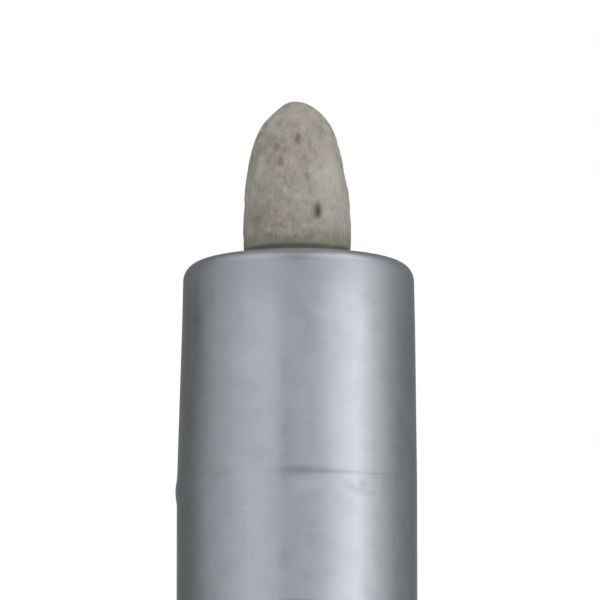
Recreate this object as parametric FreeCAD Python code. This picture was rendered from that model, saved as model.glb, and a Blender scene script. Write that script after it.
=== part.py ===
"""Blending stump in the form of a pump-action blender marker, standing on its posted cap.

A bullet-shaped felt nib stands out of a satin aluminium nose. The nose is pressed over a
plastic insert that plugs the neck of a drawn aluminium barrel, and the insert carries a
spring valve. Pressing the nib on the paper pushes a plunger off its rubber seat and wets the
nib with blending fluid from the barrel. The tail of the barrel is closed by a plug whose
spigot carries the cap when it is posted.

Millimetres, +Z up along the marker, origin at the centre of the cap's closed end, which is
the face that the marker stands on. The cap's clip points to +X and the nose's notch to -Y.
"""

import FreeCAD
import Part
import math
import os

# Smallest rounding that a bend inside a wall is left with, and how near two points count as one
least_round = 0.1
hair = 0.01

# Neck and barrel, drawn from one tube
neck_diameter = 11.1
neck_height = 6.27
shoulder_step = 2.35
shoulder_radius = 1.6
shoulder_fillet = 0.35
mouth_break = 0.08
barrel_wall = 0.5
barrel_length = 96.0

# Printed film round the straight part of the barrel
label_thickness = 0.12
label_below_shoulder = 13.0
label_above_tail = 9.0

# Nose sleeve, slightly conical, with a rolled lip at its foot
nose_length = 10.48
nose_foot_step = 0.03
nose_taper = 0.22
nose_wall = 0.32
nose_edge = 0.75
nose_lip_height = 0.75
nose_lip_proud = 0.06
notch_width = 2.8
notch_height = 0.3
notch_depth = 0.12
notch_angle = 5.0

# Nib
nib_diameter = 5.0
nib_exposed = 7.65
nib_dome = 5.3
nib_length = 23.3
nib_tail_chamfer = 0.5
nib_clearance = 0.12

# Nib guide, a ribbed bush inside the nose
guide_length = 8.0
guide_wall = 0.9
guide_channels = 6
guide_channel_width = 1.0
guide_channel_depth = 0.4

# Nose insert, which plugs the neck and holds the valve housing
insert_wall = 0.75
insert_skirt = 7.0
ring_section = 1.2
ring_squeeze = 0.15
neck_ring_below_mouth = 2.2

# Valve
pump_travel = 1.5
web_thickness = 1.2
web_room = 0.6
valve_bore_radius = 1.5
housing_wall = 0.8
housing_flange = 1.2
housing_foot = 1.0
insertion_clearance = 0.1
seat_thickness = 0.8
seat_side_clearance = 0.2
head_side_clearance = 0.75
head_height = 1.3
stem_radius = 1.0
boss_radius = 1.15
boss_height = 1.0
stem_guide_clearance = 0.1
spring_wire = 0.4
spring_inner_clearance = 0.25
spring_length = 8.0
spring_turns = 6.0
cage_floor = 1.2
cage_skirt_height = 3.0
cage_skirt_wall = 0.6
cage_hole_radius = 0.45
cage_holes = 6

# Tail plug, its seal ring and its spigot
tail_flange = 1.2
tail_plug_depth = 9.0
tail_plug_wall = 2.2
tail_ring_above_flange = 4.5
spigot_length = 13.0
spigot_wall = 1.2
spigot_edge = 0.6

# Cap, which is also the foot that the marker stands on
cap_wall = 0.5
cap_end_thickness = 2.0
cap_end_edge = 0.9
cap_end_skirt = 4.0
cap_end_wall = 1.3
cap_rim_gap = 0.1
liner_wall = 0.8
liner_floor = 1.0
liner_end_gap = 3.4
liner_tip_room = 2.2
liner_inset = 0.4
liner_flange_height = 3.0
liner_side_clearance = 0.06
liner_rib_height = 0.8
liner_rib_clearance = 0.03
liner_rib_below_rim = 3.4

# Clip of the cap and the rivet that holds it
clip_width = 4.2
clip_thickness = 0.6
clip_below_rim = 3.6
clip_gap = 1.2
clip_bend_radius = 1.1
clip_tab_depth = 4.4
clip_tip_lift = 1.0
clip_tip_height = 3.0
clip_corner = 1.2
clip_grip_gap = 0.08
rivet_radius = 0.55
rivet_head_radius = 1.0
rivet_head_height = 0.45
rivet_depth = 1.4
rivet_from_tab_end = 1.4

# Radii that follow
neck_radius = neck_diameter / 2
neck_bore = neck_radius - barrel_wall
barrel_radius = neck_radius + shoulder_step
barrel_bore = barrel_radius - barrel_wall
nose_foot_radius = neck_radius + nose_foot_step
nose_tip_radius = nose_foot_radius - nose_taper
nose_inner_edge = max(least_round, nose_edge - nose_wall)
lip_radius = nose_foot_radius + nose_lip_proud
nib_radius = nib_diameter / 2
nib_hole = nib_radius + nib_clearance
guide_radius = nib_hole + guide_wall
nib_chamber = nib_hole + guide_channel_depth / 2
housing_radius = neck_bore - insert_wall
chamber_radius = housing_radius - housing_wall
seat_radius = chamber_radius - seat_side_clearance
head_radius = chamber_radius - head_side_clearance
spring_radius = boss_radius + spring_inner_clearance + spring_wire / 2
cage_bore = chamber_radius - cage_skirt_wall
cap_bore = barrel_radius - cap_wall
liner_bore = lip_radius + liner_side_clearance
ring_radius = ring_section / 2

# Heights that follow, from the floor up
clip_foot = cap_end_thickness - clip_thickness
liner_bottom = cap_end_thickness + cap_end_skirt + liner_end_gap
cap_rim = liner_bottom + neck_height + nose_length + nib_exposed + liner_tip_room
clip_tip = cap_rim - clip_below_rim
flange_bottom = cap_rim + cap_rim_gap
spigot_bottom = flange_bottom - spigot_length
tail_end = flange_bottom + tail_flange
shoulder = tail_end + barrel_length
neck_mouth = shoulder + neck_height
nose_face = neck_mouth + nose_length
guide_top = nose_face - nose_wall
guide_bottom = guide_top - guide_length
nib_tip = nose_face + nib_exposed
nib_rear = nib_tip - nib_length
web_top = nib_rear - pump_travel - web_room
web_bottom = web_top - web_thickness
insert_bottom = web_top - insert_skirt
seat_bottom = web_bottom - seat_thickness
head_bottom = seat_bottom - head_height
spring_bottom = head_bottom - spring_length
cage_bottom = spring_bottom - cage_floor
housing_bottom = cage_bottom - housing_foot

CENTRE = FreeCAD.Vector(0, 0, 0)
AXIS = FreeCAD.Vector(0, 0, 1)
CLEAR = 1.0  # how far a cutter runs past what it cuts


def point(radius, height):
    return FreeCAD.Vector(radius, 0, height)


def outline(corners):
    """Closed wire in the XZ plane through (radius, height, rounding) corners."""
    places = [point(radius, height) for radius, height, rounding in corners]
    count = len(corners)
    edges = []
    ends = []
    for i in range(count):
        here = places[i]
        rounding = corners[i][2]
        if rounding <= 0:
            ends.append((here, here))
            continue
        towards_last = (places[i - 1] - here).normalize()
        towards_next = (places[(i + 1) % count] - here).normalize()
        half_angle = towards_last.getAngle(towards_next) / 2
        setback = rounding / math.tan(half_angle)
        bisector = (towards_last + towards_next).normalize()
        middle = here + bisector * (rounding / math.sin(half_angle) - rounding)
        start = here + towards_last * setback
        finish = here + towards_next * setback
        edges.append(Part.Arc(start, middle, finish).toShape())
        ends.append((start, finish))
    for i in range(count):
        start = ends[i][1]
        finish = ends[(i + 1) % count][0]
        if not start.isEqual(finish, hair / 1000):
            edges.append(Part.LineSegment(start, finish).toShape())
    return Part.Wire(Part.__sortEdges__(edges))


def lathe(corners):
    """Solid of revolution about Z of an outline."""
    return Part.Face(outline(corners)).revolve(CENTRE, AXIS, 360)


def rod(radius, bottom, top):
    return Part.makeCylinder(radius, top - bottom, point(0, bottom))


def tube(outer, inner, bottom, top):
    return rod(outer, bottom, top).cut(rod(inner, bottom - CLEAR, top + CLEAR))


def ring_floor(bore):
    """Radius of the bottom of a seal ring's groove, for a ring that seals against this bore."""
    return bore - ring_section + ring_squeeze


def ring_groove(bore, height):
    """Cutter for the groove that a seal ring lies in."""
    half_width = ring_radius + ring_squeeze
    return tube(bore + CLEAR, ring_floor(bore), height - half_width, height + half_width)


def seal_ring(bore, height):
    """Rubber ring, flattened between the bore round it and the floor of its groove."""
    ring = Part.makeTorus(bore - ring_radius + ring_squeeze / 2, ring_radius, point(0, height))
    return ring.common(tube(bore, ring_floor(bore), height - CLEAR, height + CLEAR))


def around(shape, count):
    """Copies of a shape, spread evenly about Z."""
    copies = []
    for i in range(count):
        copy = shape.copy()
        copy.rotate(CENTRE, AXIS, i * 360.0 / count)
        copies.append(copy)
    return copies


def nose_radius(height):
    """Outside radius of the conical nose at a height."""
    return nose_foot_radius - nose_taper * (height - neck_mouth) / nose_length


# Nose and nib


def make_nib():
    """Felt nib: chamfered rear end, straight shank and a point that is half an ellipsoid."""
    shank_top = nib_tip - nib_dome
    tip = point(0, nib_tip)
    side = point(nib_radius, shank_top)
    middle = point(0, shank_top)
    if nib_dome >= nib_radius:
        ellipse = Part.Ellipse(tip, side, middle)
    else:
        ellipse = Part.Ellipse(side, tip, middle)
    low_end = point(nib_radius, nib_rear + nib_tail_chamfer)
    tail = point(nib_radius - nib_tail_chamfer, nib_rear)
    base = point(0, nib_rear)
    edges = [
        ellipse.toShape(0, math.pi / 2),
        Part.LineSegment(side, low_end).toShape(),
        Part.LineSegment(low_end, tail).toShape(),
        Part.LineSegment(tail, base).toShape(),
        Part.LineSegment(base, tip).toShape(),
    ]
    profile = Part.Face(Part.Wire(Part.__sortEdges__(edges)))
    return profile.revolve(CENTRE, AXIS, 360)


def make_nose_sleeve():
    """Drawn aluminium cup: rounded top edge, hole for the nib, rolled lip at the foot."""
    above_lip = neck_mouth + nose_lip_height
    blend = nose_lip_height / 4
    sleeve = lathe([
        (nose_foot_radius - nose_wall, neck_mouth, 0),
        (lip_radius, neck_mouth, mouth_break),
        (lip_radius, neck_mouth + nose_lip_height / 2, blend),
        (nose_radius(above_lip), above_lip, blend),
        (nose_tip_radius, nose_face, nose_edge),
        (nib_hole, nose_face, nose_wall / 3),
        (nib_hole, guide_top, 0),
        (nose_radius(guide_top) - nose_wall, guide_top, nose_inner_edge),
    ])
    # A shallow thumbnail notch in the foot, where the sleeve is lifted off
    bow = notch_width ** 2 / (8 * notch_height) + notch_height / 2
    place = FreeCAD.Vector(0, notch_depth - lip_radius, neck_mouth + notch_height - bow)
    notch = Part.makeCylinder(bow, CLEAR, place, FreeCAD.Vector(0, -1, 0))
    notch.rotate(CENTRE, AXIS, notch_angle)
    return sleeve.cut(notch)


def make_nib_guide():
    """Ribbed bush that holds the nib straight. Its channels let fluid and air past."""
    bush = tube(guide_radius, nib_hole, guide_bottom, guide_top)
    corner = FreeCAD.Vector(0, -guide_channel_width / 2, guide_bottom - CLEAR)
    reach = nib_hole + guide_channel_depth
    channel = Part.makeBox(reach, guide_channel_width, guide_length + 2 * CLEAR, corner)
    for cut in around(channel, guide_channels):
        bush = bush.cut(cut)
    return bush


def make_nose_insert():
    """Plastic plug of the neck: cone inside the nose, chamber for the nib, skirt round the valve."""
    insert = lathe([
        (guide_radius, guide_top, 0),
        (nose_radius(guide_top) - nose_wall, guide_top, nose_inner_edge),
        (nose_foot_radius - nose_wall, neck_mouth, 0),
        (neck_bore, neck_mouth, 0),
        (neck_bore, insert_bottom, insert_wall / 3),
        (housing_radius, insert_bottom, 0),
        (housing_radius, web_top, 0),
        (nib_chamber, web_top, 0),
        (nib_chamber, guide_bottom, 0),
        (guide_radius, guide_bottom, 0),
    ])
    return insert.cut(ring_groove(neck_bore, neck_mouth - neck_ring_below_mouth))


def make_neck_seal_ring():
    return seal_ring(neck_bore, neck_mouth - neck_ring_below_mouth)


# Valve


def make_valve_housing():
    """Plastic cup: web with the valve's bore, flange that stops on the insert, spring chamber."""
    flange_radius = neck_bore - insertion_clearance
    flange_low = insert_bottom - housing_flange
    return lathe([
        (valve_bore_radius, web_top, 0),
        (housing_radius, web_top, housing_wall / 4),
        (housing_radius, insert_bottom, 0),
        (flange_radius, insert_bottom, 0),
        (flange_radius, flange_low, housing_wall / 4),
        (housing_radius, flange_low, 0),
        (housing_radius, housing_bottom, housing_wall / 4),
        (chamber_radius, housing_bottom, housing_wall / 4),
        (chamber_radius, web_bottom, 0),
        (valve_bore_radius, web_bottom, 0),
    ])


def make_valve_seat():
    """Flat rubber washer under the web."""
    return tube(seat_radius, valve_bore_radius, seat_bottom, web_bottom)


def make_valve_plunger():
    """Stem that the nib pushes, head that closes the seat, boss inside the spring, guided tail."""
    edge = stem_radius / 4
    tail = spring_bottom - cage_floor / 2
    boss_bottom = head_bottom - boss_height
    return lathe([
        (0, tail, 0),
        (stem_radius, tail, edge),
        (stem_radius, boss_bottom, 0),
        (boss_radius, boss_bottom, 0),
        (boss_radius, head_bottom, 0),
        (head_radius, head_bottom, edge),
        (head_radius, seat_bottom, edge / 2),
        (stem_radius, seat_bottom, 0),
        (stem_radius, nib_rear, edge),
        (0, nib_rear, 0),
    ])


def make_valve_spring():
    """Round-wire helix between the plunger's head and the cage, its ends ground flat."""
    pitch = spring_length / spring_turns
    helix = Part.makeHelix(pitch, spring_length, spring_radius)
    helix.translate(point(0, spring_bottom))
    along = FreeCAD.Vector(0, 1, pitch / (2 * math.pi * spring_radius))
    section = Part.Wire(Part.makeCircle(spring_wire / 2, point(spring_radius, spring_bottom), along))
    coil = Part.Wire(helix).makePipeShell([section], True, True)
    return coil.common(tube(spring_radius + CLEAR, spring_radius - CLEAR, spring_bottom, head_bottom))


def make_valve_cage():
    """Cup that closes the spring chamber: guide for the stem, ring of flow holes, snap skirt."""
    guide_bore = stem_radius + stem_guide_clearance
    skirt_top = spring_bottom + cage_skirt_height
    cage = lathe([
        (guide_bore, cage_bottom, 0),
        (chamber_radius, cage_bottom, 0),
        (chamber_radius, skirt_top, 0),
        (cage_bore, skirt_top, 0),
        (cage_bore, spring_bottom, 0),
        (guide_bore, spring_bottom, 0),
    ])
    hole = rod(cage_hole_radius, cage_bottom - CLEAR, spring_bottom + CLEAR)
    hole_circle = (spring_radius + spring_wire / 2 + cage_bore) / 2
    hole.translate(FreeCAD.Vector(hole_circle, 0, 0))
    for cut in around(hole, cage_holes):
        cage = cage.cut(cut)
    return cage


# Barrel and tail


def make_barrel():
    """Drawn tube: straight body, rounded shoulder, straight neck with an open mouth."""
    outer_round = min(shoulder_radius, shoulder_step - shoulder_fillet - hair)
    return lathe([
        (barrel_bore, tail_end, 0),
        (barrel_radius, tail_end, mouth_break),
        (barrel_radius, shoulder, outer_round),
        (neck_radius, shoulder, shoulder_fillet),
        (neck_radius, neck_mouth, mouth_break),
        (neck_bore, neck_mouth, 0),
        (neck_bore, shoulder - barrel_wall, 0),
        (barrel_bore, shoulder - barrel_wall, max(least_round, outer_round - barrel_wall)),
    ])


def make_label_sleeve():
    """Thin printed film round the straight part of the barrel."""
    bottom = tail_end + label_above_tail
    top = shoulder - label_below_shoulder
    return tube(barrel_radius + label_thickness, barrel_radius, bottom, top)


def make_tail_plug():
    """Moulded plug: cup inside the barrel, flange flush with it, closed spigot for the cap."""
    plug_top = tail_end + tail_plug_depth
    floor = tail_end + spigot_wall
    plug = lathe([
        (0, spigot_bottom, 0),
        (neck_radius, spigot_bottom, spigot_edge),
        (neck_radius, flange_bottom, 0),
        (barrel_radius, flange_bottom, tail_flange / 4),
        (barrel_radius, tail_end, mouth_break),
        (barrel_bore, tail_end, 0),
        (barrel_bore, plug_top, tail_plug_wall / 4),
        (barrel_bore - tail_plug_wall, plug_top, 0),
        (barrel_bore - tail_plug_wall, floor, 0),
        (neck_radius - spigot_wall, floor, 0),
        (neck_radius - spigot_wall, spigot_bottom + spigot_wall, 0),
        (0, spigot_bottom + spigot_wall, 0),
    ])
    return plug.cut(ring_groove(barrel_bore, tail_end + tail_ring_above_flange))


def make_tail_seal_ring():
    return seal_ring(barrel_bore, tail_end + tail_ring_above_flange)


# Cap


def make_cap_shell():
    """Drawn tube over the liner, open at both ends."""
    return lathe([
        (cap_bore, cap_end_thickness, 0),
        (barrel_radius, cap_end_thickness, mouth_break),
        (barrel_radius, cap_rim, cap_wall / 3),
        (cap_bore, cap_rim, cap_wall / 3),
    ])


def make_cap_liner():
    """Soft inner cup with a snap rib, which seals on the neck, or on the tail spigot when posted."""
    outer = liner_bore + liner_wall
    top = cap_rim - liner_inset
    flange_low = cap_rim - liner_flange_height
    rib = neck_radius + liner_rib_clearance
    rib_top = cap_rim - liner_rib_below_rim
    return lathe([
        (0, liner_bottom - liner_floor, 0),
        (outer, liner_bottom - liner_floor, liner_wall / 2),
        (outer, flange_low - liner_wall / 2, 0),
        (cap_bore, flange_low, 0),
        (cap_bore, top, liner_wall / 4),
        (liner_bore, top, liner_wall / 3),
        (liner_bore, rib_top, 0),
        (rib, rib_top - liner_rib_height / 2, 0),
        (liner_bore, rib_top - liner_rib_height, 0),
        (liner_bore, liner_bottom, liner_wall / 2),
        (0, liner_bottom, 0),
    ])


def make_cap_end_plug():
    """Moulded disc that closes the cap and is its foot, cut for the clip's tab and its rivet."""
    skirt_top = cap_end_thickness + cap_end_skirt
    plug = lathe([
        (0, 0, 0),
        (barrel_radius, 0, cap_end_edge),
        (barrel_radius, cap_end_thickness, 0),
        (cap_bore, cap_end_thickness, 0),
        (cap_bore, skirt_top, cap_end_wall / 4),
        (cap_bore - cap_end_wall, skirt_top, 0),
        (cap_bore - cap_end_wall, cap_end_thickness, 0),
        (0, cap_end_thickness, 0),
    ])
    corner = FreeCAD.Vector(barrel_radius - clip_tab_depth, -clip_width / 2, clip_foot)
    slot = Part.makeBox(clip_tab_depth + CLEAR, clip_width, clip_thickness, corner)
    return plug.cut(slot).cut(rivet_shank())


def rivet_shank():
    """Straight part of the clip's rivet, which is also its hole."""
    shank = rod(rivet_radius, cap_end_thickness - rivet_depth, cap_end_thickness)
    shank.translate(FreeCAD.Vector(barrel_radius - clip_tab_depth + rivet_from_tab_end, 0, 0))
    return shank


def make_clip_rivet():
    """Drive rivet that holds the clip's tab down on the end plug."""
    head = rod(rivet_head_radius, cap_end_thickness, cap_end_thickness + rivet_head_height)
    head = head.makeFillet(rivet_head_height / 2, [head.Edges[0]])
    head.translate(FreeCAD.Vector(barrel_radius - clip_tab_depth + rivet_from_tab_end, 0, 0))
    return head.fuse(rivet_shank())


def make_cap_clip():
    """Sheet strip: tab under the shell, bend, long leg, inward kink that grips, flared tip."""
    tab_end = barrel_radius - clip_tab_depth
    leg = barrel_radius + clip_gap
    grip = barrel_radius + clip_grip_gap
    kink = clip_tip - clip_tip_height
    leg_top = kink - clip_tip_height
    long_round = 4 * clip_gap
    strip = [
        (tab_end, clip_foot, 0),
        (leg + clip_thickness, clip_foot, clip_bend_radius + clip_thickness),
        (leg + clip_thickness, leg_top, long_round),
        (grip + clip_thickness, kink, clip_gap),
        (grip + clip_tip_lift + clip_thickness, clip_tip, 0),
        (grip + clip_tip_lift, clip_tip, 0),
        (grip, kink, clip_gap + clip_thickness),
        (leg, leg_top, long_round),
        (leg, cap_end_thickness, clip_bend_radius),
        (tab_end, cap_end_thickness, 0),
    ]
    profile = Part.Face(outline(strip))
    profile.translate(FreeCAD.Vector(0, -clip_width / 2, 0))
    bar = profile.extrude(FreeCAD.Vector(0, clip_width, 0))
    tip_corners = []
    for edge in bar.Edges:
        box = edge.BoundBox
        if box.ZMin > clip_tip - hair and box.YLength < hair:
            tip_corners.append(edge)
    return bar.makeFillet(clip_corner, tip_corners).cut(rivet_shank())


parts = {
    "nib": make_nib(),
    "nose_sleeve": make_nose_sleeve(),
    "nib_guide": make_nib_guide(),
    "nose_insert": make_nose_insert(),
    "neck_seal_ring": make_neck_seal_ring(),
    "valve_housing": make_valve_housing(),
    "valve_seat": make_valve_seat(),
    "valve_plunger": make_valve_plunger(),
    "valve_spring": make_valve_spring(),
    "valve_cage": make_valve_cage(),
    "barrel": make_barrel(),
    "label_sleeve": make_label_sleeve(),
    "tail_plug": make_tail_plug(),
    "tail_seal_ring": make_tail_seal_ring(),
    "cap_shell": make_cap_shell(),
    "cap_liner": make_cap_liner(),
    "cap_end_plug": make_cap_end_plug(),
    "cap_clip": make_cap_clip(),
    "clip_rivet": make_clip_rivet(),
}

os.makedirs("parts", exist_ok=True)
for name, shape in parts.items():
    if not shape.isValid() or len(shape.Solids) != 1:
        raise ValueError(name + " isn't one valid solid")
    shape.Solids[0].exportStep(os.path.join("parts", name + ".step"))
    print(f"{name:16s} {shape.Volume:9.2f} mm3")
print(f"height {nib_tip:.2f} mm, cap rim {cap_rim:.2f}, shoulder {shoulder:.2f}, nose face {nose_face:.2f}")
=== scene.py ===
import bpy
import math
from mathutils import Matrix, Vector, noise


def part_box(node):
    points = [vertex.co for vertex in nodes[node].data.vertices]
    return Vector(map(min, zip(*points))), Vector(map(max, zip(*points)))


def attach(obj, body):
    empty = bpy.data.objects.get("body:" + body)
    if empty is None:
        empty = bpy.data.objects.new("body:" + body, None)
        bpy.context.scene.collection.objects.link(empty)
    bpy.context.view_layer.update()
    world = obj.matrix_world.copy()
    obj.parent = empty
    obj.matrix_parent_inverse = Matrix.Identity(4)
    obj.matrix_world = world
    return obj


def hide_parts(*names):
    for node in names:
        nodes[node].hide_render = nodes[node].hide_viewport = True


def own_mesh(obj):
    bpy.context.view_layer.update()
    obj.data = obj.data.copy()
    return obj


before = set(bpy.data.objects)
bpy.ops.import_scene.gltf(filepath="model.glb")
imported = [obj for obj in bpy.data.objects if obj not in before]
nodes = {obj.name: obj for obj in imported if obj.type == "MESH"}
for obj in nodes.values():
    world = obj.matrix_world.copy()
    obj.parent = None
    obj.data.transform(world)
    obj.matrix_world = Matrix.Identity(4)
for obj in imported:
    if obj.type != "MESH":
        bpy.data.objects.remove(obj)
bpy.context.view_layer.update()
mm = 0.001
print("frame loaded with", len(nodes), "nodes")

# Levels along the marker and radii across it, read from the imported parts, except the neck's radius, which is
# given
nibLow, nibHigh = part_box("nib")
noseLow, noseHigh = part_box("nose_sleeve")
barrelLow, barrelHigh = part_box("barrel")
filmLow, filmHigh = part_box("label_sleeve")
tailLow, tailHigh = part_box("tail_plug")
shellLow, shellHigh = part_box("cap_shell")
linerLow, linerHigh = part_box("cap_liner")
endLow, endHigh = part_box("cap_end_plug")
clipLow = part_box("cap_clip")[0]
springLow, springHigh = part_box("valve_spring")
nibTip = nibHigh.z
noseFace = noseHigh.z - 0.07 * mm
seam = noseLow.z
filmTop = filmHigh.z
barrelFoot = barrelLow.z
neckRadius = 5.55 * mm
capRim = shellHigh.z


def deselectAll():
    bpy.ops.object.select_all(action="DESELECT")


def makeActive(piece):
    deselectAll()
    piece.select_set(True)
    bpy.context.view_layer.objects.active = piece


def namePiece(name, turned=False):
    # The primitive just added gets its name, and its place is applied
    piece = bpy.context.object
    piece.name = name
    bpy.ops.object.transform_apply(location=True, rotation=turned, scale=False)
    return piece


def openEdit():
    bpy.ops.object.mode_set(mode="EDIT")
    bpy.ops.mesh.select_all(action="SELECT")


def closeEdit():
    bpy.ops.mesh.select_all(action="SELECT")
    bpy.ops.mesh.normals_make_consistent(inside=False)
    bpy.ops.object.mode_set(mode="OBJECT")


def roundCorners(corners, steps=6):
    # Corners are (radius, height, rounding). Each rounded one becomes a short arc.
    count = len(corners)
    points = []
    for i in range(count):
        radius, height, rounding = corners[i]
        here = Vector((radius, height))
        if rounding <= 0:
            points.append(here)
            continue
        back = (Vector(corners[i - 1][:2]) - here).normalized()
        ahead = (Vector(corners[(i + 1) % count][:2]) - here).normalized()
        half = back.angle(ahead) / 2
        bisector = (back + ahead).normalized()
        centre = here + bisector * (rounding / math.sin(half))
        first = here + back * (rounding / math.tan(half)) - centre
        last = here + ahead * (rounding / math.tan(half)) - centre
        turn = first.angle_signed(last)
        for step in range(steps + 1):
            angle = -turn * step / steps
            spoke = Vector((first.x * math.cos(angle) - first.y * math.sin(angle),
                            first.x * math.sin(angle) + first.y * math.cos(angle)))
            points.append(centre + spoke)
    return points


def turnPiece(name, points, around, closed=True):
    # A circle is drawn out ring by ring along the profile. A closed profile joins its first ring,
    # an open one is capped where it starts and ends.
    deselectAll()
    start = points[0]
    bpy.ops.mesh.primitive_circle_add(vertices=around, radius=start.x, location=(0, 0, start.y))
    piece = namePiece(name)
    openEdit()
    if not closed:
        bpy.ops.mesh.edge_face_add()
    last = start
    for point in (points[1:] + points[:1] if closed else points[1:]):
        if closed:
            bpy.ops.mesh.extrude_edges_move(TRANSFORM_OT_translate={"value": (0, 0, point.y - last.y)})
        else:
            bpy.ops.mesh.extrude_region_move(TRANSFORM_OT_translate={"value": (0, 0, point.y - last.y)})
        grow = point.x / last.x
        bpy.ops.transform.resize(value=(grow, grow, 1), center_override=(0, 0, point.y))
        last = point
    bpy.ops.mesh.select_all(action="SELECT")
    bpy.ops.mesh.remove_doubles(threshold=0.0005 * mm)
    closeEdit()
    smoothPiece(piece)
    return piece


def smoothPiece(piece, sharpFrom=40):
    makeActive(piece)
    bpy.ops.object.shade_smooth_by_angle(angle=math.radians(sharpFrom))


def applyModifiers(piece):
    makeActive(piece)
    for modifier in list(piece.modifiers):
        bpy.ops.object.modifier_apply(modifier=modifier.name)


def paint(piece, material):
    piece.data.materials.clear()
    piece.data.materials.append(material)


def finishPiece(piece, body, node, material):
    paint(piece, material)
    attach(piece, body)
    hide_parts(node)


def sculpt(piece, move):
    # move gets a vertex's place and gives its new one
    for vertex in piece.data.vertices:
        vertex.co = move(vertex.co.copy())
    piece.data.update()


def softBump(distance, width):
    # 1 in the middle, falling smoothly to 0 at the width
    t = max(0.0, 1 - abs(distance) / width)
    return t * t * (3 - 2 * t)


def treeOf(*sockets):
    # The node tree that the sockets belong to
    return next(socket.id_data for socket in sockets if isinstance(socket, bpy.types.NodeSocket))


def link(source, entry):
    entry.id_data.links.new(source, entry)


def addNode(tree, kind, **values):
    made = tree.nodes.new("ShaderNode" + kind)
    for name, value in values.items():
        if hasattr(made, name):
            setattr(made, name, value)
        else:
            made.inputs[name].default_value = value
    return made


def mathNode(operation, *values):
    made = addNode(treeOf(*values), "Math", operation=operation)
    for i, value in enumerate(values):
        if isinstance(value, (int, float)):
            made.inputs[i].default_value = value
        else:
            link(value, made.inputs[i])
    return made.outputs[0]


def times(first, second):
    return mathNode("MULTIPLY", first, second)


def plus(first, second):
    return mathNode("ADD", first, second)


def minus(first, second):
    return mathNode("SUBTRACT", first, second)


def ramp(source, stops):
    made = addNode(source.id_data, "ValToRGB")
    elements = made.color_ramp.elements
    while len(elements) < len(stops):
        elements.new(0.5)
    for element, (place, shade) in zip(elements, stops):
        element.position = place
        element.color = (*shade, 1) if isinstance(shade, tuple) else (shade, shade, shade, 1)
    link(source, made.inputs["Fac"])
    return made.outputs["Color"]


def rangeMap(source, fromLow, fromHigh, toLow=0.0, toHigh=1.0):
    made = addNode(source.id_data, "MapRange", interpolation_type="SMOOTHSTEP")
    for name, value in (("From Min", fromLow), ("From Max", fromHigh), ("To Min", toLow), ("To Max", toHigh)):
        made.inputs[name].default_value = value
    link(source, made.inputs["Value"])
    return made.outputs["Result"]


def mixColour(amount, first, second):
    made = addNode(treeOf(amount, first, second), "Mix", data_type="RGBA")
    for entry, value in ((0, amount), (6, first), (7, second)):
        if isinstance(value, (int, float)):
            made.inputs[entry].default_value = value
        elif isinstance(value, tuple):
            made.inputs[entry].default_value = (*value, 1)
        else:
            link(value, made.inputs[entry])
    return made.outputs[2]


def tint(base, mask, amount, shade):
    return mixColour(times(mask, amount), base, shade)


def shaded(colour, share):
    return tuple(min(1, c * share) for c in colour)


def place(tree, stretch=(1, 1, 1)):
    # Object coordinates counted in millimetres, stretched for a directional grain
    coords = addNode(tree, "TexCoord")
    mapping = addNode(tree, "Mapping", Scale=tuple(s / mm for s in stretch))
    link(coords.outputs["Object"], mapping.inputs["Vector"])
    return mapping.outputs["Vector"]


def heightOf(vector):
    made = addNode(vector.id_data, "SeparateXYZ")
    link(vector, made.inputs[0])
    return made.outputs["Z"]


def vectorMath(operation, *sockets):
    made = addNode(sockets[0].id_data, "VectorMath", operation=operation)
    for socket, entry in zip(sockets, made.inputs):
        link(socket, entry)
    return made.outputs


def noiseAt(vector, scale, detail=4.0, roughness=0.5, distortion=0.0):
    made = addNode(vector.id_data, "TexNoise", Scale=scale, Detail=detail, Roughness=roughness,
                   Distortion=distortion)
    link(vector, made.inputs["Vector"])
    return made.outputs["Fac"]


def newGroup(name, inputs, outputs):
    # Every group takes a Vector, then its own inputs, and puts out masks and values
    tree = bpy.data.node_groups.new(name, "ShaderNodeTree")
    for title, kind, value in [("Vector", "Vector", (0, 0, 0)), *inputs]:
        socket = tree.interface.new_socket(name=title, in_out="INPUT", socket_type="NodeSocket" + kind)
        socket.default_value = value
    for title in outputs:
        tree.interface.new_socket(name=title, in_out="OUTPUT", socket_type="NodeSocketFloat")
    return tree, tree.nodes.new("NodeGroupInput"), tree.nodes.new("NodeGroupOutput")


def useGroup(group, vector, **values):
    made = addNode(vector.id_data, "Group", node_tree=group)
    for name, value in values.items():
        made.inputs[name].default_value = value
    link(vector, made.inputs["Vector"])
    return made.outputs


def newMaterial(name, colour, roughness, metallic=0.0, **sockets):
    material = bpy.data.materials.new(name)
    material.use_nodes = True
    tree = material.node_tree
    shader = tree.nodes["Principled BSDF"]
    shader.inputs["Base Color"].default_value = (*colour, 1)
    shader.inputs["Roughness"].default_value = roughness
    shader.inputs["Metallic"].default_value = metallic
    for title, value in sockets.items():
        shader.inputs[title.replace("_", " ")].default_value = value
    return material, tree, shader


def addBump(shader, height, strength, distance):
    bump = addNode(shader.id_data, "Bump", Strength=strength, Distance=distance)
    link(height, bump.inputs["Height"])
    link(bump.outputs["Normal"], shader.inputs["Normal"])


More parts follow.
